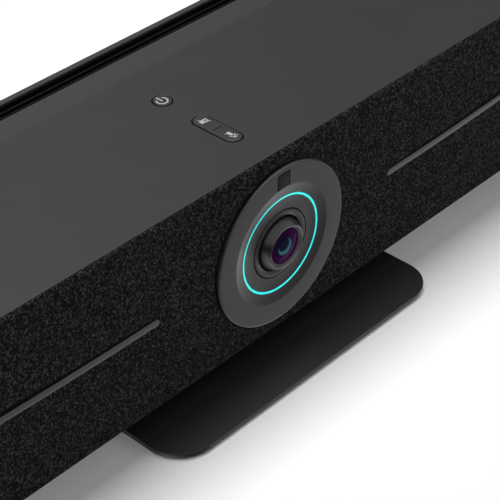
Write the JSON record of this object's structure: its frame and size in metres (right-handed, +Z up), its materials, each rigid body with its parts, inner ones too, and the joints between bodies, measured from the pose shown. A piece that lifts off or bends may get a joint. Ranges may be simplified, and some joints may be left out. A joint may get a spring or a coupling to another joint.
{
  "type": "conference camera",
  "caption": "Wide meeting-room video bar: lens in a round bezel with a light ring, knitted grille over speakers, keys on the top cover, rear sockets, on a flat foot.",
  "frame": {"origin": "middle of the whole object's base, at table level", "axes": "+X to the right as seen from behind the camera's front face looking along +Y, front faces -Y, +Z up"},
  "size_m": [0.64, 0.1492, 0.109],
  "materials": {
    "knit": "matte knitted",
    "grey_plastic": "fine grained",
    "dark_plastic": "fine grained",
    "trim": "satin",
    "glow": "lit from behind",
    "smoked": "gloss",
    "barrel_paint": "satin",
    "coated_glass": "coated",
    "clear_glass": "clear",
    "bright_steel": "brushed",
    "bare_aluminium": "satin",
    "board": "solder mask",
    "chip": "matte",
    "socket_steel": "plated",
    "cone": "pressed pulp",
    "soft_rubber": "matte",
    "magnet": "plated",
    "black_steel": "powder coated",
    "brass": "turned"
  },
  "bodies": {
    "camera_bar": {"front_fabric": "knit", "grille_carrier": "dark_plastic", "trim_strip_left": "trim", "trim_strip_right": "trim", "camera_bezel": "grey_plastic", "light_ring": "glow", "lens_dish": "grey_plastic", "sensor_window": "smoked", "lens_collar": "grey_plastic", "lens_barrel": "barrel_paint", "front_lens": "coated_glass", "inner_lenses": "clear_glass", "lens_holder": "bare_aluminium", "image_sensor": "chip", "sensor_board": "board", "ring_board": "board", "camera_bracket": "bright_steel", "top_cover": "grey_plastic", "key_carrier": "dark_plastic", "key_board": "board", "key_switches": "chip", "vent_grille": "dark_plastic", "rear_cover": "grey_plastic", "bottom_cover": "dark_plastic", "chassis": "bright_steel", "main_board": "board", "processor": "chip", "heat_sink": "bare_aluminium", "power_socket": "dark_plastic", "video_sockets": "socket_steel", "usb_sockets": "socket_steel", "network_socket": "socket_steel", "speaker_box_left": "dark_plastic", "speaker_box_right": "dark_plastic", "speaker_basket_left": "black_steel", "speaker_basket_right": "black_steel", "speaker_surround_left": "soft_rubber", "speaker_surround_right": "soft_rubber", "speaker_magnet_left": "magnet", "speaker_magnet_right": "magnet", "microphones_left": "board", "microphones_right": "board", "aerial_left": "board", "aerial_right": "board", "wall_inserts": "brass", "cover_pillars": "bright_steel", "cover_screws": "bright_steel", "stand_screws": "bright_steel", "stand_neck": "dark_plastic", "foot_plate": "black_steel", "foot_pad": "soft_rubber"},
    "power_key": {"power_button": "grey_plastic"},
    "long_key": {"rocker_key": "grey_plastic"},
    "left_cone": {"speaker_cone_left": "cone"},
    "right_cone": {"speaker_cone_right": "cone"}
  },
  "joints": [
    {"name": "power_button_press", "type": "slide", "parent": "camera_bar", "child": "power_key", "axis": [0, 0, -1], "range_m": [0, 0.0005], "stiffness_N_per_m": 400, "springref_m": -0.001},
    {"name": "long_key_rock", "type": "hinge", "parent": "camera_bar", "child": "long_key", "pos_m": [-0.005, -0.0162, 0.1046], "axis": [1, 0, 0], "range_deg": [-2, 2], "stiffness_Nm_per_rad": 0.4},
    {"name": "left_cone_stroke", "type": "slide", "parent": "camera_bar", "child": "left_cone", "axis": [0, -1, 0], "range_m": [-0.002, 0.002], "stiffness_N_per_m": 1200},
    {"name": "right_cone_stroke", "type": "slide", "parent": "camera_bar", "child": "right_cone", "axis": [0, -1, 0], "range_m": [-0.002, 0.002], "stiffness_N_per_m": 1200}
  ]
}
